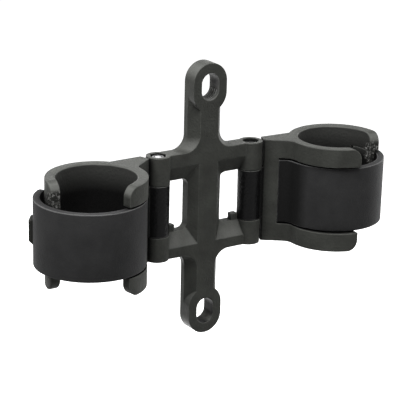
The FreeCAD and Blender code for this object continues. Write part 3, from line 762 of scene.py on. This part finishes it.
# %% Model the ridges
SLOT_LOW, SLOT_FRONT = SLOT_LEVEL - SLOT_STRAIGHT, -1.9 * MM
RIDGE_FIRST, RIDGE_STEP, RIDGE_COUNT = 1.0 * MM, 0.85 * MM, 4
RIDGE_THICK, RIDGE_SINK = 0.22 * MM, 0.06 * MM
bpy.ops.object.select_all(action="DESELECT")
bpy.ops.mesh.primitive_torus_add(
    major_segments=64, minor_segments=12, major_radius=SLOT_RADIUS + RIDGE_SINK, minor_radius=RIDGE_THICK,
    location=(0.0, SLOT_FRONT + RIDGE_FIRST, SLOT_LOW), rotation=(math.pi / 2, 0.0, 0.0))
ridges = bpy.context.object
ridges.name = "upper_slot_ridges"
bpy.ops.object.transform_apply(location=True, rotation=True, scale=True)
bpy.ops.object.mode_set(mode="EDIT")
bpy.ops.mesh.select_all(action="SELECT")
bpy.ops.mesh.bisect(plane_co=(0.0, 0.0, SLOT_LOW), plane_no=(0.0, 0.0, 1.0), use_fill=True, clear_outer=True)
bpy.ops.mesh.select_all(action="SELECT")
for copy in range(RIDGE_COUNT - 1):
    bpy.ops.mesh.duplicate_move(TRANSFORM_OT_translate={"value": (0.0, RIDGE_STEP, 0.0)})
bpy.ops.mesh.select_all(action="SELECT")
bpy.ops.mesh.normals_make_consistent(inside=False)
bpy.ops.object.mode_set(mode="OBJECT")
bpy.ops.object.shade_smooth_by_angle(angle=CORNER)
ridges.data.materials.append(bracket_plastic)
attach(ridges, "frame")
print(ridges.name, len(ridges.data.polygons), "faces")

# %% [markdown]
# ## Hinge nuts
# A locking nut closes each hinge bolt: a hexagon with a round collar on top, and the end of the bolt just
# inside the collar. The solid is a plain hexagon, so each nut is modelled from a six-sided cylinder and two
# round ones, with softened edges. The right nut is a copy that hangs upside down under its knuckle.

# %% Turn the parts of the left nut
NUT_SIDES, COLLAR_SIDES, BOLT_SIDES = 6, 40, 32
NUT_CORNER, NUT_LOW, NUT_HIGH, NUT_SOFT = 2.25 * MM, 11.75 * MM, 13.75 * MM, 0.15 * MM
COLLAR_RADIUS, COLLAR_LOW, COLLAR_TOP, COLLAR_SOFT = 1.70 * MM, NUT_HIGH - 0.1 * MM, 14.35 * MM, 0.25 * MM
COLLAR_HOLE, COLLAR_SINK, BOLT_PLAY = 1.20 * MM, 0.4 * MM, 0.15 * MM
BOLT_LOW, BOLT_TOP, BOLT_SOFT = NUT_HIGH - 0.2 * MM, 14.25 * MM, 0.25 * MM


def turned(sides, radius, low, high, soft, material):
    """Upright cylinder with softened rims, at the left hinge."""
    bpy.ops.object.select_all(action="DESELECT")
    bpy.ops.mesh.primitive_cylinder_add(
        vertices=sides, radius=radius, depth=high - low,
        location=(-HINGE, 0.0, (high + low) / 2), rotation=(0.0, 0.0, math.pi / 2))
    piece = bpy.context.object
    bpy.ops.object.transform_apply(location=True, rotation=True, scale=True)
    piece.data.materials.append(material)
    soften(piece, soft)
    return piece


nut = turned(NUT_SIDES, NUT_CORNER, NUT_LOW, NUT_HIGH, NUT_SOFT, oiled_steel)
collar = turned(COLLAR_SIDES, COLLAR_RADIUS, COLLAR_LOW, COLLAR_TOP, COLLAR_SOFT, oiled_steel)
bolt_end = turned(BOLT_SIDES, COLLAR_HOLE - BOLT_PLAY, BOLT_LOW, BOLT_TOP, BOLT_SOFT, bright_steel)
print("nut from", round(NUT_LOW / MM, 2), "to", round(COLLAR_TOP / MM, 2), "mm up")

# %% Sink the collar and join the left nut
LOOKS_UP, TOP_BAND, NUT_SMOOTH = 0.99, 0.05 * MM, math.radians(30.0)
select_only(collar)
bpy.ops.object.mode_set(mode="EDIT")
bpy.ops.mesh.select_all(action="DESELECT")
bpy.ops.object.mode_set(mode="OBJECT")
for face in collar.data.polygons:
    face.select = face.normal.z > LOOKS_UP and face.center.z > COLLAR_TOP - TOP_BAND
bpy.ops.object.mode_set(mode="EDIT")
bpy.ops.mesh.select_mode(type="FACE")
bpy.ops.mesh.inset(thickness=COLLAR_RADIUS - COLLAR_SOFT - COLLAR_HOLE)
bpy.ops.mesh.extrude_region_move(TRANSFORM_OT_translate={"value": (0.0, 0.0, -COLLAR_SINK)})
bpy.ops.object.mode_set(mode="OBJECT")
for part in (nut, bolt_end):
    part.select_set(True)
bpy.context.view_layer.objects.active = nut
bpy.ops.object.join()
nut.name = "left_hinge_locknut"
bpy.ops.object.shade_smooth_by_angle(angle=NUT_SMOOTH)
print(nut.name, len(nut.data.polygons), "faces")

# %% Copy it for the right hinge
select_only(nut)
bpy.ops.object.duplicate()
under = bpy.context.object
under.name = "right_hinge_locknut"
under.rotation_euler = (0.0, math.pi, 0.0)
bpy.ops.object.transform_apply(location=True, rotation=True, scale=True)
for name, piece in (("left", nut), ("right", under)):
    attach(piece, "frame")
    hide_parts(f"{name}_hinge_nut")
    print(piece.name, "from", [round(value / MM, 2) for value in piece.bound_box[0]], "mm")
